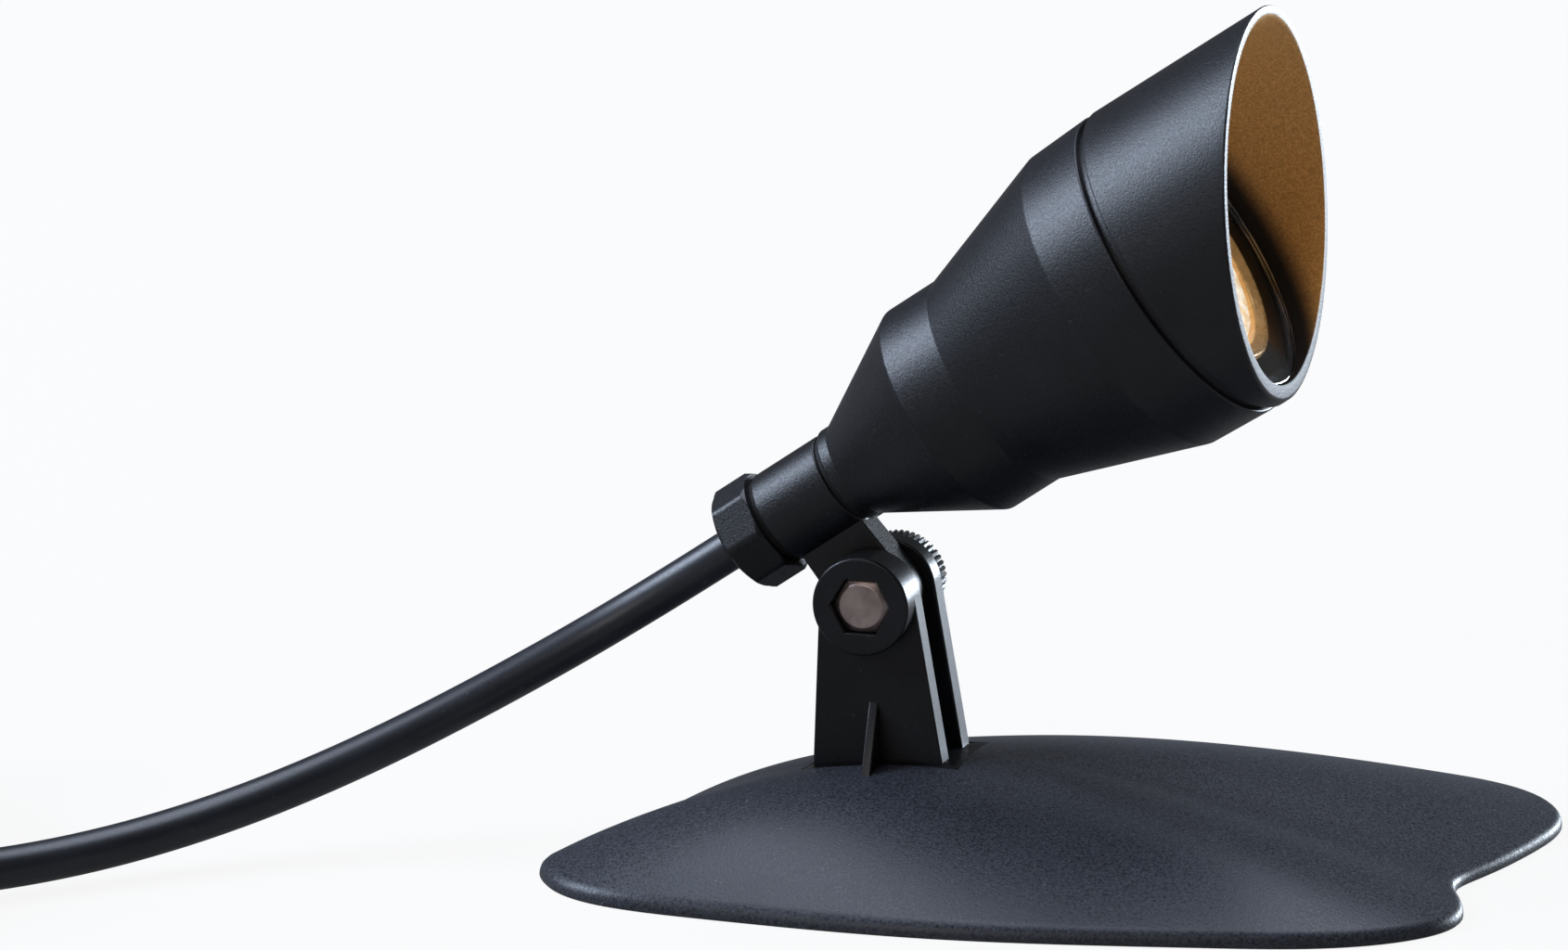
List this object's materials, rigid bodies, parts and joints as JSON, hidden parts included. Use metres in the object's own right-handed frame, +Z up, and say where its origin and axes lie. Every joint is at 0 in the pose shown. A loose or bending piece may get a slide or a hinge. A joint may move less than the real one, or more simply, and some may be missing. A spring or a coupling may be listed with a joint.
{
  "type": "landscape spotlight",
  "caption": "Black garden spotlight with a tilting conical head, a slanted hood, a forked bracket on a domed leaf-shaped base, and a low-voltage cable wound in a coil with a connector.",
  "frame": {"origin": "on the ground, under the middle of the base's outline", "axes": "+X is the way the light points, +Y is across, towards the clamping knob, and +Z is up"},
  "size_m": [0.3242, 0.1818, 0.1321],
  "materials": {
    "black_plastic": "fine moulded texture, satin",
    "cable_rubber": "smooth satin sheath",
    "seal_rubber": "matte",
    "nylon_strap": "woven strap",
    "zinc_steel": "zinc plated",
    "brass": "turned",
    "clear_glass": "clear",
    "clear_acrylic": "clear, dimpled face",
    "gold_trim": "gold anodised",
    "cast_aluminium": "as cast",
    "white_board": "solder mask",
    "green_board": "solder mask",
    "emitter_resin": "phosphor",
    "wire_sheath": "smooth",
    "dark_components": "moulded"
  },
  "bodies": {
    "base": {"base_shell": "black_plastic", "fork_bracket": "black_plastic", "fork_screws": "zinc_steel", "pivot_bolt": "zinc_steel", "cable": "cable_rubber", "cable_coil": "cable_rubber", "coil_ties": "nylon_strap", "connector_body": "black_plastic", "connector_collar": "black_plastic", "connector_pins": "brass"},
    "head": {"knuckle": "black_plastic", "gland_nut": "black_plastic", "housing": "black_plastic", "front_hood": "black_plastic", "front_glass": "clear_glass", "neck_gasket": "seal_rubber", "gland_washer": "seal_rubber", "gland_seal": "seal_rubber", "cable_end": "cable_rubber", "hood_seal": "seal_rubber", "glass_gasket": "seal_rubber", "heat_sink": "cast_aluminium", "led_board": "white_board", "driver_pad": "seal_rubber", "driver_board": "green_board", "board_screws": "zinc_steel", "sink_screws": "zinc_steel", "led_emitter": "emitter_resin", "lens_holder": "black_plastic", "collimator_lens": "clear_acrylic", "lens_ring": "gold_trim", "led_wires": "wire_sheath", "supply_wires": "wire_sheath", "driver_components": "dark_components"},
    "washer": {"pivot_washer": "zinc_steel"},
    "knob": {"knob_grip": "black_plastic", "knob_insert": "brass"}
  },
  "joints": [
    {"name": "tilt", "type": "hinge", "parent": "base", "child": "head", "pos_m": [-0.02634, -0.00892, 0.04], "axis": [0, -1, 0], "range_deg": [-45, 40], "deforming": ["cable"]},
    {"name": "knob_travel", "type": "slide", "parent": "base", "child": "washer", "axis": [0, 1, 0], "range_m": [0, 0.0016]},
    {"name": "knob_turn", "type": "hinge", "parent": "washer", "child": "knob", "pos_m": [-0.02634, -0.00892, 0.04], "axis": [0, 1, 0], "range_deg": [0, 721]}
  ],
  "couplings": [
    {"joint": "knob_turn", "follows": "knob_travel", "rad_per_m": 7854}
  ]
}
